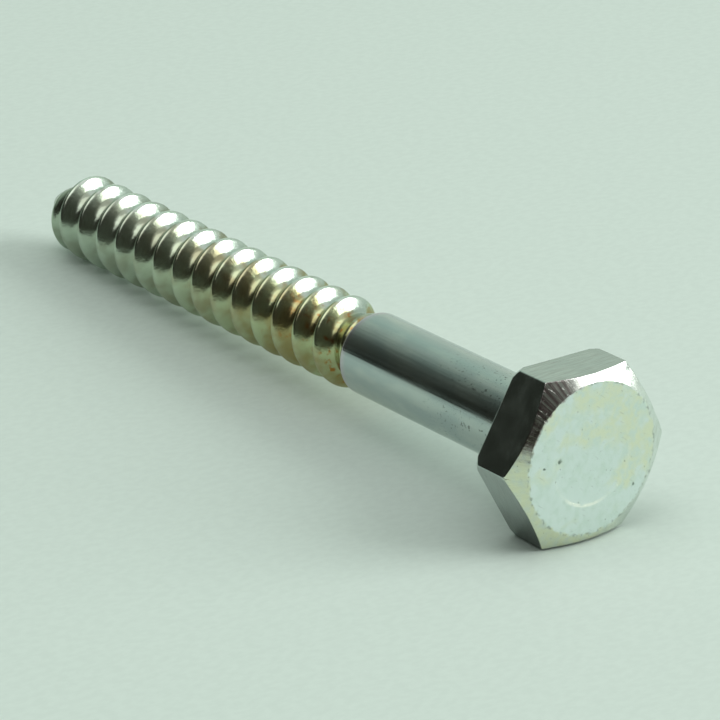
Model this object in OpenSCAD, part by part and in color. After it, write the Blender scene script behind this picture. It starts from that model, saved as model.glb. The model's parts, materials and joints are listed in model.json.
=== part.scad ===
// Hexagon-head coach screw, modelled as it lies at rest on a flat surface:
// on the lower edge of its head and on the last full crest of its thread.
// The origin is the centre of the face under the head, and the head points to +X.

/* [Head] */
// Width of the hexagon across its flats
across_flats = 12; // [11:0.1:13]
// Height of the head, from the face under it to its top
head_h = 4; // [3.4:0.1:5]
// Diameter of the round crown that the top chamfer leaves
crown_d = 10.9; // [10:0.1:11.6]
// Slope of the top chamfer, measured from the crown
crown_slope = 30; // [20:1:35]
// Diameter at which the corners start to round off under the head
foot_d = 13.3; // [12.9:0.1:13.6]
// Slope of the corner rounding under the head
foot_slope = 60; // [45:1:65]
// Radius of the fillet between the head and the shank
neck_fillet = 0.3; // [0.1:0.05:0.5]

/* [Shank] */
// Diameter of the plain shank
shank_d = 6.15; // [5.6:0.05:6.6]
// Length of the plain shank, from the face under the head to its shoulder
shank_len = 20; // [12:0.5:30]
// Length of the cone that steps down from the shank to the thread
shoulder_len = 0.8; // [0.4:0.1:1.2]

/* [Thread] */
// Diameter over the thread's crests
thread_d = 6.5; // [6.2:0.05:7]
// Diameter of the core between the crests
core_d = 4.5; // [4.2:0.05:5]
// Distance from one crest to the next
pitch = 2.54; // [2.4:0.02:3]
// Width of the flat on top of the crest
crest_w = 0.3; // [0.1:0.05:0.5]
// Angle between the two flanks of the ridge
flank_angle = 70; // [50:1:76]
// Depth of the fillet where a flank meets the core
root_fillet = 0.3; // [0.1:0.05:0.35]
// Axial length in which the ridge dies away under the shoulder
run_out = 1.5; // [1:0.1:3]

/* [Point] */
// Length of the whole screw from the face under the head to its tip
screw_len = 60.6; // [50:0.1:75]
// Length of the tapered point
point_len = 2.6; // [2:0.1:6]
// Diameter of the blunt end of the point
tip_d = 1.8; // [1:0.1:2.4]

/* [Hidden] */

// Zinc plate
zinc = [0.78, 0.81, 0.77];
// Facets of the round surfaces
round_fn = 96;
// Steps of the thread in one turn
turn_steps = 36;
// Height of the plain land at the blunt end
tip_land = 0.15;
// Depth to which the threaded rod is rooted in the shank, past its last turn
rod_grip = 0.3;
// Radial width of the flat ring where the shoulder meets the core
shoulder_ring = 0.2;

across_corners = across_flats / cos(30);
corner_r = across_corners / 2;
shoulder_z = -(shank_len + shoulder_len);
point_z = point_len - screw_len;

// The thread's section along one pitch: the ridge, with the valley's floor after it.
// Each point is [distance along the axis, share of the full ridge height].
ridge_h = (thread_d - core_d) / 2;
flank_w = ridge_h * tan(flank_angle / 2);
ridge_w = crest_w + 2 * flank_w;
root_w = pitch - ridge_w;
fillet_w = min(root_fillet, root_w / 3);
fillet_rise = root_fillet / ridge_h;
fillet_run = root_fillet * tan(flank_angle / 2);
thread_section = [
    [0, 0],
    [fillet_w + fillet_run, fillet_rise],
    [fillet_w + flank_w, 1],
    [fillet_w + flank_w + crest_w, 1],
    [fillet_w + ridge_w - fillet_run, fillet_rise],
    [2 * fillet_w + ridge_w, 0]
];
section_n = len(thread_section);

// The thread is laid out so that its crest crosses the underside just where the point begins.
crest_run = thread_section[2][0];
lead = pitch / turn_steps;
steps_to_contact = floor((point_z - crest_run + screw_len - tip_land) / lead);
start_z = point_z - crest_run - steps_to_contact * lead;
steps_total = ceil((shoulder_z - start_z) / lead) + 1;
rod_top_z = start_z + steps_total * lead + pitch + rod_grip;

// The screw lies on the edge under its head and on the crest where the point begins.
lie_angle = atan((across_flats - thread_d) / 2 / -point_z);

// Radius of the core at a height: the core narrows evenly along the point
function core_r(z) =
    z > point_z ? core_d / 2 : tip_d / 2 + (core_d - tip_d) / 2 * (z + screw_len) / point_len;

// Height of the ridge at a height: full on the straight part, fading at both ends
function ridge_at(z) =
    ridge_h * max(0, min(1, (z + screw_len) / point_len, (shoulder_z - z) / run_out));

// Share of the ridge that has grown after so many steps: half a turn from nothing to full
function grown(k) = min(1, 2 * k / turn_steps);

function step_angle(k) = 360 * (k - steps_to_contact) / turn_steps;

function on_rod(k, r, z) = [r * cos(step_angle(k)), r * sin(step_angle(k)), z];

// Point m of the section after k steps along the helix
function ridge_point(k, m) =
    let (z = start_z + k * lead + thread_section[m][0])
    on_rod(k, core_r(z) + ridge_at(z) * thread_section[m][1] * grown(k), z);

// Threaded rod as one closed surface. The section sweeps along the helix, each turn shares
// its edge with the next, and plain collars close the rod at the tip and inside the shank.
module threaded_rod() {
    n = turn_steps;
    last = steps_total;
    upper = (last + 1) * section_n;
    tip_ring = upper + n;
    top_ring = tip_ring + n;

    swept = [for (k = [0 : last], m = [0 : section_n - 1]) ridge_point(k, m)];
    upper_edge = [
        for (k = [last - n + 1 : last])
            on_rod(k, core_d / 2, start_z + k * lead + pitch)
    ];
    tip = [for (k = [0 : n - 1]) on_rod(k, tip_d / 2, -screw_len)];
    top = [for (k = [last - n : last - 1]) on_rod(k, core_d / 2, rod_top_z)];

    // Index of a section point, where the point past the last one starts the next turn
    function at(k, m) =
        m < section_n ? k * section_n + m
        : k + n <= last ? (k + n) * section_n
        : upper + k + n - last - 1;

    turns = [
        for (k = [0 : last - 1], m = [0 : section_n - 1])
            [at(k, m), at(k, m + 1), at(k + 1, m + 1), at(k + 1, m)]
    ];
    tip_collar = [
        for (k = [0 : n - 2])
            [tip_ring + k, at(k, 0), at(k + 1, 0), tip_ring + k + 1]
    ];
    tip_seam = [concat(
        [tip_ring + n - 1, at(n - 1, 0)],
        [for (m = [section_n : -1 : 0]) at(0, m)],
        [tip_ring]
    )];
    top_collar = [
        for (i = [1 : n - 1])
            [at(last - n + i, section_n), top_ring + i,
             top_ring + (i + 1) % n, at(last - n + i + 1, section_n)]
    ];
    top_seam = [concat(
        [top_ring + 1, at(last - n + 1, section_n)],
        [for (m = [0 : section_n]) at(last, m)],
        [top_ring]
    )];
    tip_face = [[for (k = [0 : n - 1]) tip_ring + k]];
    top_face = [[for (k = [n - 1 : -1 : 0]) top_ring + k]];

    polyhedron(
        points = concat(swept, upper_edge, tip, top),
        faces = concat(turns, tip_collar, tip_seam, top_collar, top_seam, tip_face, top_face),
        convexity = 20
    );
}

// Hexagon forged on the wire's end, its corners turned back above and rounded off below
module head() {
    reach = corner_r + 1;
    crown_r = crown_d / 2;
    foot_r = foot_d / 2;
    intersection() {
        translate([0, 0, -1])
            rotate(30)
                cylinder(h = head_h + 2, d = across_corners, $fn = 6);
        rotate_extrude($fn = round_fn)
            polygon([
                [0, 0],
                [foot_r, 0],
                [reach, (reach - foot_r) * tan(foot_slope)],
                [reach, head_h - (reach - crown_r) * tan(crown_slope)],
                [crown_r, head_h],
                [0, head_h]
            ]);
    }
}

// Fillet in the corner between the face under the head and the shank
module neck() {
    wide_r = shank_d / 2 + neck_fillet;
    rotate_extrude($fn = round_fn)
        difference() {
            translate([0, -neck_fillet])
                square([wide_r, 2 * neck_fillet]);
            translate([wide_r, -neck_fillet])
                circle(r = neck_fillet, $fn = round_fn);
        }
}

// Plain shank, with the shoulder that steps down to the thread's core
module shank() {
    ring_r = core_d / 2 + shoulder_ring;
    overlap = head_h / 2;
    translate([0, 0, -shank_len])
        cylinder(h = shank_len + overlap, d = shank_d, $fn = round_fn);
    translate([0, 0, shoulder_z])
        cylinder(h = shoulder_len, r1 = ring_r, r2 = shank_d / 2, $fn = round_fn);
}

module coach_screw() {
    color(zinc)
        rotate([0, 90 - lie_angle, 0])
            union() {
                head();
                neck();
                shank();
                threaded_rod();
            }
}

coach_screw();
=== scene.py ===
import json
import math
import random

import bmesh
import bpy
from mathutils import Matrix, Quaternion, Vector


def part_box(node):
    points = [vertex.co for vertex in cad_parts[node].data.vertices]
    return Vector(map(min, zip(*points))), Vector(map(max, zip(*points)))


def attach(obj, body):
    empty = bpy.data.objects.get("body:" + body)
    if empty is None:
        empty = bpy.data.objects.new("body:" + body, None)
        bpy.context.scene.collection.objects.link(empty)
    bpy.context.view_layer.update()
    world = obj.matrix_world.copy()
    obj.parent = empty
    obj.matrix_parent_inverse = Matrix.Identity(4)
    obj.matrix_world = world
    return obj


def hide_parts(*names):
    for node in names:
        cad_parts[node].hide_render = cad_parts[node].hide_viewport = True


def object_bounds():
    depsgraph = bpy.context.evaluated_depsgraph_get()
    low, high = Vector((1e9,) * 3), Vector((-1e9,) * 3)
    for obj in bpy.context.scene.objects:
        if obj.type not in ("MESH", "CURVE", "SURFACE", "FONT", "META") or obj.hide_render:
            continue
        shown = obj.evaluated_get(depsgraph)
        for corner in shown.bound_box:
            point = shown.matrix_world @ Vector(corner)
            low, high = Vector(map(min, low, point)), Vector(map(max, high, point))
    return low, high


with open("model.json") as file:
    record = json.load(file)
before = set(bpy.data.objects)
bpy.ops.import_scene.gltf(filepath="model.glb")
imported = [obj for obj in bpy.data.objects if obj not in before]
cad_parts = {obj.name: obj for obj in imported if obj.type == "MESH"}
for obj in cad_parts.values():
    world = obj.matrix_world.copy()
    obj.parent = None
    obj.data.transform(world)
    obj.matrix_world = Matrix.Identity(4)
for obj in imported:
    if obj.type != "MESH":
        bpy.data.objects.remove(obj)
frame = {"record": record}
cad_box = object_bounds()


# ---- Shank ---------------------------------------------------------------
# The shank is the steel wire that the screw is made from, drawn through a die until it is
# smooth and round. The head is forged on one end of it and the thread is rolled on the other.

# The screw is built standing on its axis, in millimetres, with the face under the head at zero.
# Across the axis, x points down to the underside of the screw as it lies.
MM = 0.001


def mount(name):
    return next(m for m in frame["record"]["mounts"] if m["name"] == name)


def distance_to(name):
    return Vector(mount(name)["pos_m"]).length / MM


axis = -Vector(mount("shank")["axis"])
lie_angle = math.atan2(axis.z, axis.x)
shank_r = mount("shank")["dims"]["r_mm"]
thread_r = mount("thread")["dims"]["r_mm"]
shoulder_z = -distance_to("thread")
screw_len = mount("thread")["dims"]["length_mm"] - shoulder_z
corner_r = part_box("coach_screw")[1].y / MM
core_r = 2.25
shoulder_len = 0.8
shoulder_ring = 0.2
shank_edge = 0.22

# The same columns of points run the whole length of the screw. They stand closest together at
# the six corners of the head, where the hexagon turns.
corner_round = 0.16
corner_steps = 6
flat_steps = 9
flat_margin = math.radians(0.6)

arc_centre = corner_r - corner_round / math.cos(math.radians(30))
flat_dist = corner_r * math.cos(math.radians(30))


def corner_point(turn):
    """Angle off the corner of the point where the corner's rounding has turned by so much."""
    return math.atan2(
        corner_round * math.sin(turn), arc_centre + corner_round * math.cos(turn)
    )


def sector_angles():
    """Angles off a corner, from the middle of the flat before it to just short of the next one."""
    rounding = [
        corner_point(math.radians(-30 + 60 * i / corner_steps))
        for i in range(corner_steps + 1)
    ]
    edge = rounding[-1] + flat_margin
    flat = [edge + (math.radians(30) - edge) * i / flat_steps for i in range(flat_steps + 1)]
    return [-a for a in reversed(flat)] + rounding + flat[:-1]


columns = [
    math.radians(30 + 60 * corner) + a for corner in range(6) for a in sector_angles()
]
turn_n = len(columns)

screw_mesh = bmesh.new()


def place(angle, radius, height):
    return screw_mesh.verts.new(
        (radius * math.cos(angle), radius * math.sin(angle), height)
    )


def ring(radius, height):
    """A closed ring with a point on each column."""
    return [place(a, radius, height) for a in columns]


def skin(upper, lower, finish):
    """Faces between two rings, with the upper one nearer the head."""
    for i in range(turn_n):
        j = (i + 1) % turn_n
        face = screw_mesh.faces.new((upper[i], lower[i], lower[j], upper[j]))
        face.material_index = finish


def skin_all(rings, finish):
    for upper, lower in zip(rings, rings[1:]):
        skin(upper, lower, finish)


def arc(centre, radius, first, last, steps):
    """Points along an arc, as (distance from the axis, height), between two angles in degrees."""
    return [
        (
            centre[0] + radius * math.cos(math.radians(first + (last - first) * i / steps)),
            centre[1] + radius * math.sin(math.radians(first + (last - first) * i / steps)),
        )
        for i in range(steps + 1)
    ]


WIRE, FORGED, ROLLED = 0, 1, 2

neck_fillet = 0.3
shank_ring_gap = 0.5
edge_gap = 0.05
edge_steps = 5
ring_edge = 0.04
slope_shares = (0.1, 0.5, 0.92)

shank_top = -neck_fillet
shank_low = shoulder_z + shoulder_len
ring_r = core_r + shoulder_ring
shoulder_slope = math.degrees(math.atan2(shank_r - ring_r, shoulder_len))
edge_run = shank_edge * math.tan(math.radians(shoulder_slope / 2))
edge_z = shank_low + edge_run
shank_ring_n = math.floor((shank_top - edge_z) / shank_ring_gap) - 1
shank_profile = [
    (shank_r, shank_top - shank_ring_gap * (i + 1)) for i in range(shank_ring_n)
]
shank_profile += [(shank_r, edge_z + edge_gap)]
shank_profile += arc(
    (shank_r - shank_edge, edge_z), shank_edge, 0, -shoulder_slope, edge_steps
)
slope_r, slope_z = shank_profile[-1]
shank_profile += [
    (slope_r + (ring_r - slope_r) * s, slope_z + (shoulder_z - slope_z) * s)
    for s in slope_shares
]
shank_profile += [(ring_r - ring_edge, shoulder_z), (core_r, shoulder_z)]
shank_rings = [ring(r, z) for r, z in shank_profile]
skin_all(shank_rings, WIRE)


def linear(hex_colour):
    """An sRGB hex colour as linear red, green, blue and alpha."""
    shares = [int(hex_colour[i : i + 2], 16) / 255 for i in (1, 3, 5)]
    return [s / 12.92 if s <= 0.04045 else ((s + 0.055) / 1.055) ** 2.4 for s in shares] + [1]


def add(tree, kind, settings=None, **inputs):
    """Adds a node with its settings, and sets or links its inputs.

    An input is named with underscores for its spaces, or numbered as i0, i1 and so on.
    """
    node = tree.nodes.new("ShaderNode" + kind)
    for name, value in (settings or {}).items():
        setattr(node, name, value)
    for name, value in inputs.items():
        key = int(name[1:]) if name[1:].isdigit() else name.replace("_", " ")
        if isinstance(value, bpy.types.NodeSocket):
            tree.links.new(value, node.inputs[key])
        else:
            node.inputs[key].default_value = value
    return node


SOFT_STEP = {"interpolation_type": "SMOOTHSTEP"}
COLOUR_MIX = {"data_type": "RGBA"}


def blank(name):
    """A new material with nothing in its node tree."""
    material = bpy.data.materials.new(name)
    material.use_nodes = True
    material.node_tree.nodes.clear()
    return material


def screw_millimetres(tree):
    """Where a point is on the screw, in millimetres: z along the axis, x to the underside."""
    spot = add(tree, "TexCoord").outputs["Object"]
    turned_back = (0, lie_angle - math.pi / 2, 0)
    return add(tree, "Mapping", Vector=spot, Rotation=turned_back, Scale=[1 / MM] * 3).outputs[0]


def mottle(tree, where, size, low, high, detail=2.0):
    """Soft patches from 0 to 1, with their size in millimetres along x, y and z."""
    stretched = add(tree, "VectorMath", {"operation": "DIVIDE"}, i0=where, i1=size)
    cloud = add(tree, "TexNoise", Vector=stretched.outputs[0], Scale=1.0, Detail=detail)
    return add(
        tree, "MapRange", SOFT_STEP, Value=cloud.outputs[0], From_Min=low, From_Max=high
    ).outputs["Result"]


# Bright zinc on drawn wire: an even grey mirror with faint lines along the wire, marked near
# the head with small dark specks. The real draw lines are finer, and are drawn coarser here.
die_line_size = (0.22, 0.22, 7)
cloud_size = (1.3, 1.3, 3)
speck_size = (0.2, 0.2, 0.26)
specks_start = -13
specks_full = -2
lip_start = shank_low + 0.7
lip_full = shank_low - 0.1
wire_relief = 0.004 * MM

drawn_zinc = blank("zinc_on_drawn_wire")
tree = drawn_zinc.node_tree
where = screw_millimetres(tree)
along = add(tree, "SeparateXYZ", Vector=where).outputs["Z"]
die_lines = mottle(tree, where, die_line_size, 0.35, 0.7)
clouds = mottle(tree, where, cloud_size, 0.35, 0.68)
specks = mottle(tree, where, speck_size, 0.62, 0.7)
near_head = add(
    tree,
    "MapRange",
    SOFT_STEP,
    Value=along,
    From_Min=specks_start,
    From_Max=specks_full,
    To_Min=0.1,
).outputs["Result"]
specks = add(tree, "Math", {"operation": "MULTIPLY"}, i0=specks, i1=near_head).outputs[0]
lip = add(
    tree, "MapRange", SOFT_STEP, Value=along, From_Min=lip_start, From_Max=lip_full
).outputs["Result"]
colour = add(
    tree, "Mix", COLOUR_MIX, Factor=clouds, i6=linear("#b2bebd"), i7=linear("#c0c9c5")
).outputs[2]
colour = add(tree, "Mix", COLOUR_MIX, Factor=lip, i6=colour, i7=linear("#cdc5cd")).outputs[2]
colour = add(tree, "Mix", COLOUR_MIX, Factor=specks, i6=colour, i7=linear("#6d726f")).outputs[2]
gloss = add(tree, "MapRange", Value=die_lines, To_Min=0.15, To_Max=0.22).outputs["Result"]
relief = add(tree, "Math", {"operation": "SUBTRACT"}, i0=die_lines, i1=specks).outputs[0]
bump = add(tree, "Bump", Strength=0.5, Distance=wire_relief, Height=relief).outputs["Normal"]
shader = add(
    tree, "BsdfPrincipled", Base_Color=colour, Metallic=1.0, Roughness=gloss, Normal=bump
)
add(tree, "OutputMaterial", Surface=shader.outputs["BSDF"])


# ---- Head ----------------------------------------------------------------
# The head is forged cold on the end of the wire in a hexagonal die. A chamfer turns its six
# corners back above, and the blow that filled the die left them soft underneath.

head_h = distance_to("wrench_hexagon")
crown_r = 5.45
crown_slope = 30
foot_r = 6.65
foot_slope = 60
crown_edge = 0.2
rim_edge = 0.09
foot_edge = 0.12
upper_steps = 4
foot_steps = 3
chamfer_shares = (0.06, 0.25, 0.5, 0.75, 0.94)
side_shares = (0.02, 0.15, 0.3, 0.45, 0.6, 0.75, 0.88, 0.98)
foot_shares = (0.33, 0.67)


def reach(angle):
    """Distance from the axis to the side of the hexagon on a column."""
    off = (angle - math.radians(30)) % math.radians(60)
    off = min(off, math.radians(60) - off)
    if off < corner_point(math.radians(30)):
        across = arc_centre * math.sin(off)
        return arc_centre * math.cos(off) + math.sqrt(corner_round**2 - across**2)
    return flat_dist / math.cos(math.radians(30) - off)


def meet(slope_a, past_a, slope_b, past_b):
    """Where two lines cross. Each faces its slope, in degrees, and lies so far from the origin."""
    a = math.radians(slope_a)
    b = math.radians(slope_b)
    turn = math.sin(b - a)
    return (
        (past_a * math.sin(b) - past_b * math.sin(a)) / turn,
        (past_b * math.cos(a) - past_a * math.cos(b)) / turn,
    )


def past(slope, point):
    """How far from the origin the line lies that faces a slope and runs through a point."""
    return point[0] * math.cos(math.radians(slope)) + point[1] * math.sin(math.radians(slope))


chamfer_faces = 90 - crown_slope
foot_faces = foot_slope - 90
chamfer_past = past(chamfer_faces, (crown_r, head_h))
foot_past = past(foot_faces, (foot_r, 0))


def between(start, end, shares):
    """Points at some shares of the way from the start to the end."""
    return [
        (start[0] + (end[0] - start[0]) * s, start[1] + (end[1] - start[1]) * s) for s in shares
    ]


def side_profile(side):
    """Points down one column of the head, from the crown's edge to the face underneath."""
    crown = meet(90, head_h - crown_edge, chamfer_faces, chamfer_past - crown_edge)
    rim = meet(chamfer_faces, chamfer_past - rim_edge, 0, side - rim_edge)
    foot = meet(0, side - foot_edge, foot_faces, foot_past - foot_edge)
    sole = meet(foot_faces, foot_past - foot_edge, -90, -foot_edge)
    if foot[1] < sole[1]:
        foot = sole = (side - foot_edge, foot_edge)
    top = arc(crown, crown_edge, 90, chamfer_faces, upper_steps)
    edge = arc(rim, rim_edge, chamfer_faces, 0, upper_steps)
    lower = arc(foot, foot_edge, 0, foot_faces, foot_steps)
    under = arc(sole, foot_edge, foot_faces, -90, foot_steps)
    return (
        top
        + between(top[-1], edge[0], chamfer_shares)
        + edge
        + between(edge[-1], lower[0], side_shares)
        + lower
        + between(lower[-1], under[0], foot_shares)
        + under
    )


side_columns = [[place(a, r, z) for r, z in side_profile(reach(a))] for a in columns]

# Small knocks along the edge of the crown and the outer edge of the chamfer, each pressed in
# by a few hundredths of a millimetre. The points of both edges are counted down a column.
knocks = random.Random(11)
knock_n = 30
shallowest = 0.015
deepest = 0.04
edge_points = ((0, 4), (9, 15))
knock_spread = ((-1, 0.4), (0, 1), (1, 0.6))
head_middle = Vector((0, 0, head_h / 2))
for column in knocks.sample(range(turn_n), knock_n):
    first, last = knocks.choice(edge_points)
    depth = knocks.uniform(shallowest, deepest)
    for step, share in knock_spread:
        for point in side_columns[(column + step) % turn_n][first:last]:
            inwards = head_middle - point.co
            point.co += inwards.normalized() * depth * share

side_rings = [list(r) for r in zip(*side_columns)]
crown_flat_r = side_profile(reach(0))[0][0]
crown_rim_share = 0.985
crown_ring_gap = 0.04
crown_ring_n = 24
crown_shares = [crown_rim_share]
crown_shares += [1 - crown_ring_gap * (i + 1) for i in range(crown_ring_n)]
press_r = 3.45
press_depth = 0.035
press_run = 0.45
sole_margin = 0.25
sole_shares = (1, 0.8, 0.6, 0.4, 0.2, 0.03)


def crown_height(radius):
    """The crown is flat, with the print of a round punch pressed a little way into it."""
    share = max(0, min(1, (press_r - radius) / press_run))
    return head_h - press_depth * share * share * (3 - 2 * share)


crown_rings = [ring(crown_flat_r * s, crown_height(crown_flat_r * s)) for s in crown_shares]
neck_r = shank_r + neck_fillet
sole_rings = [ring(neck_r + (flat_dist - sole_margin - neck_r) * s, 0) for s in sole_shares]
neck_rings = [
    ring(r, z) for r, z in arc((neck_r, shank_top), neck_fillet, 90, 180, edge_steps)
]
skin_all(crown_rings[::-1] + side_rings + sole_rings + neck_rings, FORGED)
skin(neck_rings[-1], shank_rings[0], WIRE)
crown_middle = screw_mesh.verts.new((0, 0, crown_height(0)))
for i in range(turn_n):
    face = screw_mesh.faces.new(
        (crown_middle, crown_rings[-1][i], crown_rings[-1][(i + 1) % turn_n])
    )
    face.material_index = FORGED

# Bright zinc on forged steel. The crown and the chamfer are painted lighter than the six sides, a
# painted reflection of the bright floor that they mirror, and the plate on them turns from blue to
# yellow. The six sides are greyer and scored.
score_size = (1.4, 1.4, 0.07)
side_cloud_size = (1.3, 1.3, 1.0)
bloom_size = (0.6, 0.6, 0.6)
pit_size = (0.2, 0.2, 0.2)
scratch_size = (0.07, 1.3, 1.3)
scratch_slant = math.radians(38)
gap_size = (0.5, 0.5, 0.5)
chip_size = (0.3, 0.3, 0.3)
yellow_lean = (-0.018, 0.022, 0)
drag_side = (-0.707, -0.707, 0)
cream_side = (0.6, -0.8, 0)
bright_side = (0.98, -0.2, 0)
crown_wander = 0.7
crown_worn_in = crown_r + 0.22
crown_worn_out = crown_r + 0.42
shade_start = 1.8
shade_full = 5.6
ring_highlight_r = press_r - 0.15
rim_line_r = crown_r - 0.03
dent_weight = -3.0
score_weight = 0.55
head_relief = 0.006 * MM

forged_zinc = blank("zinc_on_forged_steel")
tree = forged_zinc.node_tree
where = screw_millimetres(tree)
normal = add(tree, "NewGeometry").outputs["Normal"]
facing = add(tree, "VectorMath", {"operation": "DOT_PRODUCT"}, i0=normal, i1=axis)
facing = facing.outputs["Value"]
on_top = add(
    tree, "MapRange", SOFT_STEP, Value=facing, From_Min=0.15, From_Max=0.5
).outputs["Result"]
flat_where = add(tree, "VectorMath", {"operation": "MULTIPLY"}, i0=where, i1=(1, 1, 0)).outputs[0]
shake = add(tree, "TexNoise", Vector=where, Scale=2.2, Detail=3.0)
from_axis = add(tree, "VectorMath", {"operation": "LENGTH"}, i0=flat_where).outputs["Value"]
worn_edge = add(
    tree,
    "Math",
    {"operation": "MULTIPLY_ADD"},
    i0=shake.outputs[0],
    i1=crown_wander,
    i2=from_axis,
).outputs[0]
on_crown = add(
    tree,
    "MapRange",
    SOFT_STEP,
    Value=worn_edge,
    From_Min=crown_worn_out,
    From_Max=crown_worn_in,
).outputs["Result"]

score_lines = mottle(tree, where, score_size, 0.4, 0.65, 3)
side_clouds = mottle(tree, where, side_cloud_size, 0.35, 0.7, 2)
side_colour = add(
    tree, "Mix", COLOUR_MIX, Factor=side_clouds, i6=linear("#bac4c0"), i7=linear("#c2cac5")
).outputs[2]
side_colour = add(
    tree, "Mix", COLOUR_MIX, Factor=score_lines, i6=side_colour, i7=linear("#b0b6b2")
).outputs[2]

# The yellow lies towards the top of the crown and its +Y side, and the blue below it
lean = add(tree, "VectorMath", {"operation": "DOT_PRODUCT"}, i0=where, i1=yellow_lean)
tint_noise = add(tree, "TexNoise", Vector=where, Scale=0.42, Detail=3.0, Roughness=0.6)
tint_value = add(
    tree, "Math", {"operation": "ADD"}, i0=tint_noise.outputs[0], i1=lean.outputs["Value"]
).outputs[0]
yellowed = add(
    tree, "MapRange", SOFT_STEP, Value=tint_value, From_Min=0.46, From_Max=0.6
).outputs["Result"]
crown_colour = add(
    tree, "Mix", COLOUR_MIX, Factor=yellowed, i6=linear("#e4eeec"), i7=linear("#e8ebd2")
).outputs[2]
bloom = mottle(tree, where, bloom_size, 0.38, 0.72, 3)
crown_colour = add(
    tree, "Mix", COLOUR_MIX, Factor=bloom, i6=crown_colour, i7=linear("#dce9e3")
).outputs[2]

# Lines dragged outwards over the chamfer, mostly on one side. Their width is an angle in
# radians, and they are drawn coarser than the real ones.
drag_line_size = (0.025, 0.025, 1)
spoke = add(tree, "VectorMath", {"operation": "NORMALIZE"}, i0=flat_where).outputs[0]
drag_lines = mottle(tree, spoke, drag_line_size, 0.38, 0.6, 3)
drag_lines = add(tree, "MapRange", Value=drag_lines, To_Min=0.45).outputs["Result"]
dragged = add(tree, "VectorMath", {"operation": "DOT_PRODUCT"}, i0=spoke, i1=drag_side)
dragged = add(
    tree,
    "MapRange",
    SOFT_STEP,
    Value=dragged.outputs["Value"],
    From_Min=0.75,
    From_Max=0.97,
    To_Min=0.08,
).outputs["Result"]
drag = add(tree, "Math", {"operation": "MULTIPLY"}, i0=drag_lines, i1=dragged).outputs[0]
creamy = add(tree, "VectorMath", {"operation": "DOT_PRODUCT"}, i0=spoke, i1=cream_side)
creamy = add(
    tree, "MapRange", SOFT_STEP, Value=creamy.outputs["Value"], From_Min=-0.1, From_Max=0.7
).outputs["Result"]
chamfer_colour = add(
    tree, "Mix", COLOUR_MIX, Factor=creamy, i6=linear("#e6eee8"), i7=linear("#e3e6ca")
).outputs[2]
chamfer_colour = add(
    tree, "Mix", COLOUR_MIX, Factor=bloom, i6=chamfer_colour, i7=linear("#d9e2d8")
).outputs[2]
chamfer_colour = add(
    tree, "Mix", COLOUR_MIX, Factor=drag, i6=chamfer_colour, i7=linear("#8d7f7f")
).outputs[2]
top_colour = add(
    tree, "Mix", COLOUR_MIX, Factor=on_crown, i6=chamfer_colour, i7=crown_colour
).outputs[2]

# Dents that other screws have knocked in the crown, each as (x, y, size) in millimetres. Noise
# makes their outlines ragged, and half of its reach is put back to keep them in place.
dents = ((-0.48, -2.78, 0.24), (-0.23, -4.09, 0.18), (2.73, 3.7, 0.14), (2.25, 5.27, 0.16))
raggedness = 0.5
ragged = add(
    tree,
    "VectorMath",
    {"operation": "MULTIPLY_ADD"},
    i0=shake.outputs[1],
    i1=(raggedness, raggedness, 0),
    i2=flat_where,
).outputs[0]
dented = None
for x, y, size in dents:
    centre = (x + raggedness / 2, y + raggedness / 2, 0)
    away = add(tree, "VectorMath", {"operation": "DISTANCE"}, i0=ragged, i1=centre)
    mark = add(
        tree,
        "MapRange",
        SOFT_STEP,
        Value=away.outputs["Value"],
        From_Min=size,
        From_Max=size * 0.35,
    ).outputs["Result"]
    if dented is None:
        dented = mark
    else:
        dented = add(tree, "Math", {"operation": "MAXIMUM"}, i0=dented, i1=mark).outputs[0]
pits = mottle(tree, where, pit_size, 0.7, 0.76)
marks = add(tree, "Math", {"operation": "MAXIMUM"}, i0=dented, i1=pits).outputs[0]
slant = add(tree, "Mapping", Vector=where, Rotation=(0, 0, scratch_slant)).outputs[0]
scratches = mottle(tree, slant, scratch_size, 0.68, 0.76)
scratches = add(tree, "Math", {"operation": "MULTIPLY"}, i0=scratches, i1=0.6).outputs[0]
marks = add(tree, "Math", {"operation": "MAXIMUM"}, i0=marks, i1=scratches).outputs[0]
top_colour = add(
    tree, "Mix", COLOUR_MIX, Factor=marks, i6=top_colour, i7=linear("#7f8a80")
).outputs[2]

# The lower ends of the sides are painted darker where the head rests: a painted shade for the
# shadowed floor that they mirror
painted_shade = add(tree, "SeparateXYZ", Vector=where).outputs["X"]
painted_shade = add(
    tree,
    "MapRange",
    SOFT_STEP,
    Value=painted_shade,
    From_Min=shade_start,
    From_Max=shade_full,
    To_Max=0.62,
).outputs["Result"]
side_colour = add(
    tree, "Mix", COLOUR_MIX, Factor=painted_shade, i6=side_colour, i7=linear("#4a4f47")
).outputs[2]

# A thin near-white line along the punch's ring, mostly on its lower side, is a painted highlight
from_ring = add(tree, "Math", {"operation": "SUBTRACT"}, i0=from_axis, i1=ring_highlight_r)
from_ring = add(tree, "Math", {"operation": "ABSOLUTE"}, i0=from_ring.outputs[0]).outputs[0]
ring_highlight = add(
    tree, "MapRange", SOFT_STEP, Value=from_ring, From_Min=0.17, From_Max=0.05
).outputs["Result"]
highlight_side = add(tree, "VectorMath", {"operation": "DOT_PRODUCT"}, i0=spoke, i1=bright_side)
highlight_side = add(
    tree,
    "MapRange",
    SOFT_STEP,
    Value=highlight_side.outputs["Value"],
    From_Min=0.78,
    From_Max=0.98,
    To_Min=0.15,
).outputs["Result"]
broken = mottle(tree, where, gap_size, 0.35, 0.5)
ring_highlight = add(tree, "Math", {"operation": "MULTIPLY"}, i0=ring_highlight, i1=highlight_side).outputs[0]
ring_highlight = add(tree, "Math", {"operation": "MULTIPLY"}, i0=ring_highlight, i1=broken).outputs[0]
top_colour = add(
    tree, "Mix", COLOUR_MIX, Factor=ring_highlight, i6=top_colour, i7=linear("#fdfef6")
).outputs[2]

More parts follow.
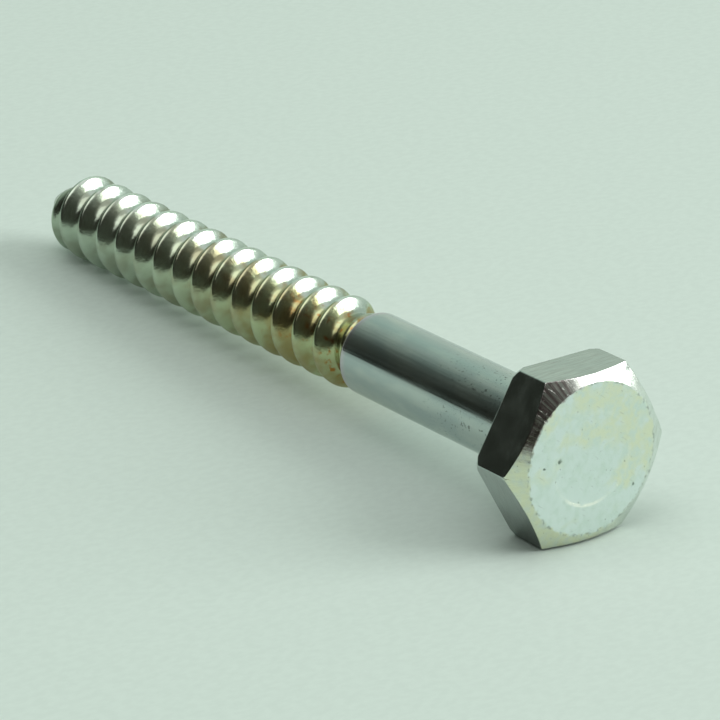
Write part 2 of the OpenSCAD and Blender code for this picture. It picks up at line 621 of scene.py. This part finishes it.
# The top is painted lighter than the sides here: a painted reflection.
colour = add(
    tree, "Mix", COLOUR_MIX, Factor=on_top, i6=side_colour, i7=top_colour
).outputs[2]

# The rim of the crown is chipped and rubbed dark in places
from_rim = add(tree, "Math", {"operation": "SUBTRACT"}, i0=from_axis, i1=rim_line_r)
from_rim = add(tree, "Math", {"operation": "ABSOLUTE"}, i0=from_rim.outputs[0]).outputs[0]
rim_line = add(
    tree, "MapRange", SOFT_STEP, Value=from_rim, From_Min=0.16, From_Max=0.05
).outputs["Result"]
chips = mottle(tree, where, chip_size, 0.5, 0.62)
chips = add(tree, "Math", {"operation": "MULTIPLY"}, i0=rim_line, i1=chips).outputs[0]
chips = add(tree, "Math", {"operation": "MULTIPLY"}, i0=chips, i1=0.42).outputs[0]
colour = add(tree, "Mix", COLOUR_MIX, Factor=chips, i6=colour, i7=linear("#6e736b")).outputs[2]

# The sides are smoother than the top, and take the marks more faintly
gloss = add(tree, "MapRange", Value=bloom, To_Min=0.16, To_Max=0.26).outputs["Result"]
side_gloss = add(tree, "MapRange", Value=side_clouds, To_Min=0.13, To_Max=0.22).outputs["Result"]
gloss = add(
    tree, "Mix", {"data_type": "FLOAT"}, i0=on_top, i2=side_gloss, i3=gloss
).outputs[0]
felt = add(tree, "MapRange", Value=on_top, To_Min=0.15).outputs["Result"]
sunk = add(tree, "Math", {"operation": "MULTIPLY"}, i0=marks, i1=felt).outputs[0]
sunk = add(tree, "Math", {"operation": "MULTIPLY"}, i0=sunk, i1=dent_weight).outputs[0]
swell = add(tree, "Math", {"operation": "MULTIPLY"}, i0=bloom, i1=on_top).outputs[0]
relief = add(tree, "Math", {"operation": "ADD"}, i0=swell, i1=sunk).outputs[0]
relief = add(
    tree, "Math", {"operation": "MULTIPLY_ADD"}, i0=score_lines, i1=score_weight, i2=relief
).outputs[0]
bump = add(tree, "Bump", Strength=0.5, Distance=head_relief, Height=relief).outputs["Normal"]
shader = add(
    tree, "BsdfPrincipled", Base_Color=colour, Metallic=1.0, Roughness=gloss, Normal=bump
)
add(tree, "OutputMaterial", Surface=shader.outputs["BSDF"])


# ---- Thread and point ----------------------------------------------------
# The thread is rolled into the wire between two dies, which press its valleys in and raise its
# ridge a little past the wire. It winds up out of the blunt point and dies away at the shoulder.

pitch = 2.54
crest_w = 0.3
flank_angle = 70
root_fillet = 0.3
crest_round = 0.1
crest_drop = 0.16
run_out = 1.5
point_len = 2.6
tip_r = 0.9
tip_round = 0.18
tip_steps = 4
tip_ring_share = 0.4
root_steps = 3
crest_steps = 5
flank_shares = (0.1, 0.5, 0.9)

# The thread starts half a turn before the crest that the screw lies on, grows to its full
# height in half a turn, and ends just past the shoulder's face
start_turns = 1 / 2
end_turns = 0.02
most_turns = 40

point_z = point_len - screw_len
ridge_h = thread_r - core_r
flank_w = ridge_h * math.tan(math.radians(flank_angle / 2))
crest_run = root_fillet + flank_w


def bend(start, corner, end, steps):
    """Points along a curve that leaves start towards corner and comes to end from it."""
    points = []
    for i in range(steps + 1):
        t = i / steps
        points.append(
            tuple(
                (1 - t) ** 2 * start[k] + 2 * t * (1 - t) * corner[k] + t**2 * end[k]
                for k in (0, 1)
            )
        )
    return points


def ridge_section():
    """The thread along one pitch: (distance along the axis, share of the ridge's full height)."""
    rise = root_fillet / ridge_h
    run = root_fillet * math.tan(math.radians(flank_angle / 2))
    foot_a = root_fillet
    foot_b = foot_a + 2 * flank_w + crest_w
    crest_a = foot_a + flank_w
    crest_b = crest_a + crest_w
    drop = crest_drop / ridge_h
    slip = drop * flank_w
    near_a = (crest_a - slip, 1 - drop)
    near_b = (crest_b + slip, 1 - drop)
    up = bend((foot_a - root_fillet, 0), (foot_a, 0), (foot_a + run, rise), root_steps)
    over_a = bend(near_a, (crest_a, 1), (crest_a + crest_round, 1), crest_steps)
    over_b = bend((crest_b - crest_round, 1), (crest_b, 1), near_b, crest_steps)
    down = bend((foot_b - run, rise), (foot_b, 0), (foot_b + root_fillet, 0), root_steps)
    root = between(down[-1], (pitch, 0), (0.5,))
    climb = between(up[-1], over_a[0], flank_shares)
    fall = between(over_b[-1], down[0], flank_shares)
    return up + climb + over_a + over_b + fall + down + root


section = ridge_section()


def core_at(z):
    """The core's radius at a height: it narrows evenly along the point."""
    return min(core_r, tip_r + (core_r - tip_r) * (z + screw_len) / point_len)


def ridge_at(z):
    """The ridge's height at a height: it fades at the point and under the shoulder."""
    return ridge_h * max(0, min(1, (z + screw_len) / point_len, (shoulder_z - z) / run_out))


def thread_point(turns, along, share):
    """A point of the thread so many turns past the crest that the screw lies on."""
    z = min(point_z - crest_run + pitch * turns + along, shoulder_z)
    grown = min(1, (turns + start_turns) / start_turns)
    angle = 2 * math.pi * turns
    return place(angle, core_at(z) + ridge_at(z) * share * grown, z)


def winding():
    """Turns at each column from the start of the thread until its foot is past the shoulder."""
    shares = sorted((a / (2 * math.pi)) % 1 for a in columns)
    first = math.floor(-start_turns)
    whole = [first + n + s for n in range(most_turns) for s in shares]
    begun = [t for t in whole if t >= -start_turns - 1e-9]
    last = (shoulder_z - point_z + crest_run) / pitch
    return [t for t in begun if t < last + end_turns]


turns = winding()
swept = [[thread_point(t, a, s) for a, s in section] for t in turns]
closing = [thread_point(t, pitch, 0) for t in turns[-turn_n:]]


def section_edge(step):
    """The points of one step of the thread, with the one that it shares with the next turn."""
    after = step + turn_n
    far = swept[after][0] if after < len(swept) else closing[after - len(swept)]
    return swept[step] + [far]


for step in range(len(swept) - 1):
    here = section_edge(step)
    there = section_edge(step + 1)
    for m in range(len(section)):
        face = screw_mesh.faces.new((here[m], there[m], there[m + 1], here[m + 1]))
        face.material_index = ROLLED

tip_profile = arc((tip_r - tip_round, tip_round - screw_len), tip_round, 0, -90, tip_steps)
tip_profile += [(tip_r * tip_ring_share, -screw_len)]
tip_rings = [[place(2 * math.pi * t, r, z) for t in turns[:turn_n]] for r, z in tip_profile]
skin_all(tip_rings, ROLLED)
for i in range(turn_n - 1):
    face = screw_mesh.faces.new(
        (swept[i][0], tip_rings[0][i], tip_rings[0][i + 1], swept[i + 1][0])
    )
    face.material_index = ROLLED
seam = [tip_rings[0][-1], tip_rings[0][0]] + section_edge(0) + [swept[turn_n - 1][0]]
screw_mesh.faces.new(seam).material_index = ROLLED
screw_mesh.faces.new(tip_rings[-1]).material_index = ROLLED

weld_gap = 1e-4
bmesh.ops.remove_doubles(screw_mesh, verts=screw_mesh.verts, dist=weld_gap)
bmesh.ops.recalc_face_normals(screw_mesh, faces=screw_mesh.faces)
for face in screw_mesh.faces:
    face.smooth = True

data = bpy.data.meshes.new("coach_screw")
screw_mesh.to_mesh(data)
screw_mesh.free()
data.transform(Matrix.Rotation(math.pi / 2 - lie_angle, 4, "Y") @ Matrix.Scale(MM, 4))
screw = bpy.data.objects.new("screw", data)
bpy.context.scene.collection.objects.link(screw)

# Zinc on the rolled thread. The top of the screw as it lies is painted bare and bright, a painted
# highlight, and its crests there are lighter still, partly rubbed and partly painted highlight.
# The underside and near side carry a darker film, a painted shade over the film's own colour,
# which is grey by the tip and brown by the shank, with rusty spots in its last valleys.
smudge_size = (0.4, 0.4, 0.45)
film_size = (1.6, 1.6, 3.2)
rust_size = (0.55, 0.55, 0.55)
highlit_direction = (-0.978, 0.208, 0)
film_wander = 0.12
crest_foot = core_r + 0.5 * ridge_h
crest_top = thread_r - 0.02
brown_start = shoulder_z - 32
brown_full = shoulder_z - 5
rust_start = shoulder_z - 13
rust_full = shoulder_z - 1
thread_relief = 0.007 * MM

rolled_zinc = blank("zinc_on_rolled_thread")
tree = rolled_zinc.node_tree
where = screw_millimetres(tree)
along = add(tree, "SeparateXYZ", Vector=where).outputs["Z"]
flat_where = add(tree, "VectorMath", {"operation": "MULTIPLY"}, i0=where, i1=(1, 1, 0)).outputs[0]
radius = add(tree, "VectorMath", {"operation": "LENGTH"}, i0=flat_where).outputs["Value"]
smudge = mottle(tree, where, smudge_size, 0.36, 0.66, 3)
film = mottle(tree, where, film_size, 0.38, 0.62, 2)
raised = add(
    tree, "MapRange", SOFT_STEP, Value=radius, From_Min=crest_foot, From_Max=crest_top
).outputs["Result"]
spoke = add(tree, "VectorMath", {"operation": "NORMALIZE"}, i0=flat_where).outputs[0]
# The screw's top side is left bare and bright and its underside filmed darker: painted highlight
# above, painted shade below
toward_highlit = add(tree, "VectorMath", {"operation": "DOT_PRODUCT"}, i0=spoke, i1=highlit_direction)
toward_highlit = add(
    tree,
    "Math",
    {"operation": "MULTIPLY_ADD"},
    i0=film,
    i1=-film_wander,
    i2=toward_highlit.outputs["Value"],
).outputs[0]
film_and_shade = add(
    tree, "MapRange", SOFT_STEP, Value=toward_highlit, From_Min=0.93, From_Max=0.76
).outputs["Result"]
# The crests on the top are lighter still: partly rubbed wear, partly a painted highlight
rubbed_and_highlit = add(tree, "MapRange", Value=smudge, To_Min=1.0, To_Max=0.55).outputs["Result"]
rubbed_and_highlit = add(tree, "Math", {"operation": "MULTIPLY"}, i0=raised, i1=rubbed_and_highlit).outputs[0]
bare_and_highlit = add(tree, "MapRange", Value=film_and_shade, To_Min=1.0, To_Max=0.14).outputs["Result"]
rubbed_and_highlit = add(tree, "Math", {"operation": "MULTIPLY"}, i0=rubbed_and_highlit, i1=bare_and_highlit).outputs[0]
grey_film = add(
    tree, "Mix", COLOUR_MIX, Factor=film, i6=linear("#b0bdaa"), i7=linear("#9fa894")
).outputs[2]
brown_film = add(
    tree, "Mix", COLOUR_MIX, Factor=film, i6=linear("#b2ba8f"), i7=linear("#a39868")
).outputs[2]
browned = add(
    tree, "MapRange", SOFT_STEP, Value=along, From_Min=brown_start, From_Max=brown_full
).outputs["Result"]
colour = add(
    tree, "Mix", COLOUR_MIX, Factor=browned, i6=grey_film, i7=brown_film
).outputs[2]
colour = add(tree, "Mix", COLOUR_MIX, Factor=film_and_shade, i6=linear("#bccbbf"), i7=colour).outputs[2]
colour = add(tree, "Mix", COLOUR_MIX, Factor=rubbed_and_highlit, i6=colour, i7=linear("#dbe8dc")).outputs[2]
near_shank = add(
    tree, "MapRange", SOFT_STEP, Value=along, From_Min=rust_start, From_Max=rust_full
).outputs["Result"]
rust = mottle(tree, where, rust_size, 0.53, 0.7)
sheltered = add(tree, "Math", {"operation": "SUBTRACT"}, i0=near_shank, i1=raised)
sheltered.use_clamp = True
rust = add(tree, "Math", {"operation": "MULTIPLY"}, i0=rust, i1=sheltered.outputs[0]).outputs[0]
rust = add(tree, "Math", {"operation": "MULTIPLY"}, i0=rust, i1=film_and_shade).outputs[0]
colour = add(tree, "Mix", COLOUR_MIX, Factor=rust, i6=colour, i7=linear("#a8743a")).outputs[2]
gloss = add(tree, "MapRange", Value=rubbed_and_highlit, To_Min=0.22, To_Max=0.15).outputs["Result"]
bump = add(tree, "Bump", Strength=0.6, Distance=thread_relief, Height=smudge).outputs["Normal"]
shader = add(
    tree, "BsdfPrincipled", Base_Color=colour, Metallic=1.0, Roughness=gloss, Normal=bump
)
add(tree, "OutputMaterial", Surface=shader.outputs["BSDF"])

data.materials.append(drawn_zinc)
data.materials.append(forged_zinc)
data.materials.append(rolled_zinc)
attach(screw, "root")
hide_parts("coach_screw")


# ---- Table ---------------------------------------------------------------
# The screw lies on a sheet of pale mint paper, matt and with a faint grain of fibres. It is
# wide enough, twelve metres, to fill the view and to catch the light like a room's floor.

sheet_half = 6.0
fibre_size = (0.5, 0.9, 1)
paper_z = cad_box[0].z
paper = bpy.data.meshes.new("paper_sheet")
paper.from_pydata(
    [
        (-sheet_half, -sheet_half, paper_z),
        (sheet_half, -sheet_half, paper_z),
        (sheet_half, sheet_half, paper_z),
        (-sheet_half, sheet_half, paper_z),
    ],
    [],
    [(0, 1, 2, 3)],
)
sheet = bpy.data.objects.new("paper_sheet", paper)
bpy.context.scene.collection.objects.link(sheet)
paper_finish = blank("matt_mint_paper")
tree = paper_finish.node_tree
spot = add(tree, "TexCoord").outputs["Object"]
paper_mm = add(tree, "Mapping", Vector=spot, Scale=[1 / MM] * 3).outputs[0]
fibres = mottle(tree, paper_mm, fibre_size, 0.3, 0.7, 3)
colour = add(
    tree, "Mix", COLOUR_MIX, Factor=fibres, i6=linear("#cbdbd1"), i7=linear("#cfdfd5")
).outputs[2]
shader = add(tree, "BsdfPrincipled", Base_Color=colour, Roughness=0.8)
add(tree, "OutputMaterial", Surface=shader.outputs["BSDF"])
paper.materials.append(paper_finish)


# ---- Light ---------------------------------------------------------------
# As the camera sees it, a wide window stands to the right of the screw, and a large, dim fill
# lamp hangs over its near left side. The walls are pale beyond the screw, grey around the window
# and dark behind the camera, so the bright zinc has light and dark to mirror.


def towards(azimuth, elevation):
    """The direction of an azimuth from +X and an elevation, both in degrees."""
    az = math.radians(azimuth)
    el = math.radians(elevation)
    return Vector((math.cos(az) * math.cos(el), math.sin(az) * math.cos(el), math.sin(el)))


def pane(name, azimuth, elevation, distance, width, height, radiance):
    """An area lamp that faces the screw and looks as bright as the radiance says."""
    lamp = bpy.data.lights.new(name, "AREA")
    lamp.shape = "RECTANGLE"
    lamp.size = width
    lamp.size_y = height
    lamp.energy = radiance * math.pi * width * height
    lamp_object = bpy.data.objects.new(name, lamp)
    bpy.context.scene.collection.objects.link(lamp_object)
    lamp_object.location = towards(azimuth, elevation) * distance
    lamp_object.rotation_mode = "QUATERNION"
    lamp_object.rotation_quaternion = towards(azimuth, elevation).to_track_quat("Z", "Y")


pane("window", azimuth=53.5, elevation=27, distance=1, width=0.68, height=0.78, radiance=4.4)
pane("fill", azimuth=-100, elevation=66, distance=1, width=1.0, height=0.9, radiance=0.95)

room = bpy.data.worlds.new("room")
bpy.context.scene.world = room
room.use_nodes = True
tree = room.node_tree
tree.nodes.clear()
looking = add(tree, "TexCoord").outputs["Generated"]
parts = add(tree, "SeparateXYZ", Vector=looking)
bearing = add(
    tree, "Math", {"operation": "ARCTAN2"}, i0=parts.outputs["Y"], i1=parts.outputs["X"]
).outputs[0]
bearing = add(
    tree, "MapRange", Value=bearing, From_Min=-math.pi, From_Max=math.pi
).outputs["Result"]
walls = add(tree, "ValToRGB", Fac=bearing)

# The walls of the room, each as (azimuth in degrees, colour)
stretches = (
    (-180, "#a5b3a8"),
    (-164, "#7d8a81"),
    (-154, "#555d56"),
    (-138, "#272822"),
    (-60, "#393b35"),
    (-12, "#43463f"),
    (14, "#757a73"),
    (27, "#a8ada6"),
    (72, "#b6c0b7"),
    (80, "#c0ccc3"),
    (114, "#c0ccc3"),
    (137, "#d2e0d2"),
    (154, "#c1d7ca"),
    (180, "#a5b3a8"),
)
ramp = walls.color_ramp
for i, (azimuth, wall_colour) in enumerate(stretches):
    share = (azimuth + 180) / 360
    if i == 0:
        stop = ramp.elements[0]
    elif i == len(stretches) - 1:
        stop = ramp.elements[-1]
    else:
        stop = ramp.elements.new(share)
    stop.position = share
    stop.color = linear(wall_colour)

# The walls blend into a plain pale ceiling between these elevations
ceiling_colour = [0.81, 0.81, 0.81, 1]
walls_end = math.radians(44)
ceiling_start = math.radians(60)
height = add(tree, "Math", {"operation": "ARCSINE"}, i0=parts.outputs["Z"]).outputs[0]
overhead = add(
    tree, "MapRange", SOFT_STEP, Value=height, From_Min=walls_end, From_Max=ceiling_start
).outputs["Result"]
colour = add(
    tree, "Mix", COLOUR_MIX, Factor=overhead, i6=walls.outputs["Color"], i7=ceiling_colour
).outputs[2]
background = add(tree, "Background", Color=colour)
add(tree, "OutputWorld", Surface=background.outputs["Background"])


# ---- Camera --------------------------------------------------------------
# A long lens looks down at the screw from beyond its head and from one side of it, so that the
# crown faces it and the thread runs away. It is aimed close to the shoulder of the shank.

lens_mm = 200
aim = Vector((-21.03, -0.47, -1.71)) * MM
camera_dist = 285.44 * MM
camera_az = -37.79
camera_el = 23.515
camera_roll = 2.06

camera = bpy.data.cameras.new("camera")
camera.lens = lens_mm
camera.sensor_width = 36
camera.clip_start = 0.01
camera.clip_end = 50
camera_object = bpy.data.objects.new("camera", camera)
bpy.context.scene.collection.objects.link(camera_object)
back = towards(camera_az, camera_el)
camera_object.location = aim + back * camera_dist
camera_object.rotation_mode = "QUATERNION"
camera_object.rotation_quaternion = back.to_track_quat("Z", "Y") @ Quaternion(
    (0, 0, 1), math.radians(camera_roll)
)
bpy.context.scene.camera = camera_object
bpy.context.scene.view_settings.view_transform = "Standard"
